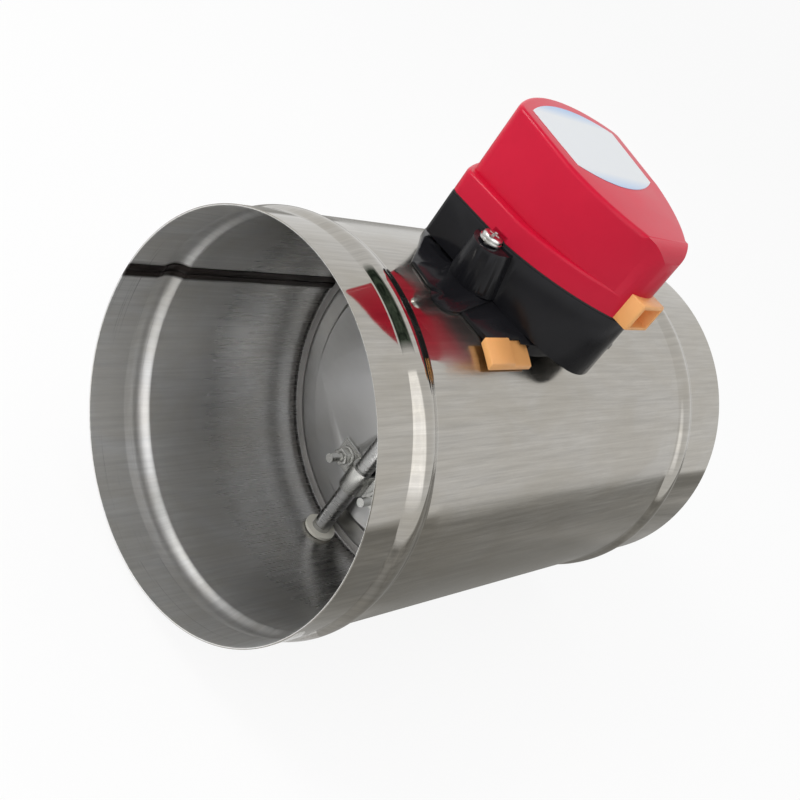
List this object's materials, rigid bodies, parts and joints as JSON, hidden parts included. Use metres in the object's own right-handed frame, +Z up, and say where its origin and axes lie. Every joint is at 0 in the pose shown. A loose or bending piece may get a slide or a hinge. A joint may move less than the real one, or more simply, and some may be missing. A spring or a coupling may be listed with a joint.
{
  "type": "volume control damper",
  "caption": "Round duct volume control damper: stainless tube with a turning disc blade, driven through gears by an electric actuator on a saddle bracket.",
  "frame": {"origin": "centre of the front spigot's end face, on the duct's axis", "axes": "+X along the duct from the front spigot to the rear one, +Z up the blade's shaft to the actuator, +Y to the side"},
  "size_m": [0.231, 0.1526, 0.2119],
  "materials": {
    "duct_steel": "stainless, bright with fine scratches",
    "blade_steel": "stainless, dull brushed",
    "shaft_steel": "turned",
    "zinc_steel": "bright zinc plated",
    "deck_steel": "zinc plated sheet",
    "motor_steel": "satin",
    "bush_plastic": "natural nylon",
    "seal_rubber": "matt",
    "gasket_rubber": "matt",
    "black_plastic": "gloss moulded",
    "red_plastic": "satin moulded",
    "orange_plastic": "satin moulded",
    "label_film": "printed film",
    "board_green": "solder mask",
    "terminal_plastic": "moulded",
    "gear_brass": "machined",
    "gear_steel": "machined",
    "gear_plastic": "moulded"
  },
  "bodies": {
    "duct": {"duct_tube": "duct_steel", "upper_bush": "bush_plastic", "lower_bush": "bush_plastic", "mounting_bracket": "black_plastic", "bracket_screws": "zinc_steel", "actuator_base": "black_plastic", "base_screws": "zinc_steel", "cover_gasket": "gasket_rubber", "actuator_cover": "red_plastic", "cover_screws": "zinc_steel", "label_plate": "label_film", "idler_axle": "shaft_steel", "gear_deck": "deck_steel", "deck_screws": "zinc_steel", "motor_body": "motor_steel", "motor_screws": "zinc_steel", "circuit_board": "board_green", "board_spacers": "bush_plastic", "board_screws": "zinc_steel", "terminal_block": "terminal_plastic", "cable_socket": "orange_plastic", "lower_socket": "orange_plastic"},
    "blade": {"blade_disc": "blade_steel", "blade_seal": "seal_rubber", "blade_shaft": "shaft_steel", "shaft_clip": "shaft_steel", "shaft_straps": "zinc_steel", "blade_bolts": "zinc_steel", "bolt_washers": "zinc_steel", "blade_nuts": "zinc_steel", "output_gear": "gear_brass", "gear_pin": "shaft_steel"},
    "idler": {"idler_pinion": "gear_steel", "idler_gear": "gear_plastic"},
    "motor_shaft": {"motor_pinion": "gear_steel"}
  },
  "joints": [
    {"name": "blade_turn", "type": "hinge", "parent": "duct", "child": "blade", "pos_m": [0.1, 0, 0], "axis": [0, 0, 1], "range_deg": [0, 90]},
    {"name": "idler_spin", "type": "hinge", "parent": "duct", "child": "idler", "pos_m": [0.08529, 0.01471, 0.085], "axis": [0, 0, 1], "range_deg": [-312, 12]},
    {"name": "motor_spin", "type": "hinge", "parent": "duct", "child": "motor_shaft", "pos_m": [0.09829, 0.01471, 0.088], "axis": [0, 0, 1], "range_deg": [-40, 1040]}
  ],
  "couplings": [
    {"joint": "idler_spin", "follows": "blade_turn", "ratio": -3.3333},
    {"joint": "motor_spin", "follows": "blade_turn", "ratio": 11.111}
  ]
}
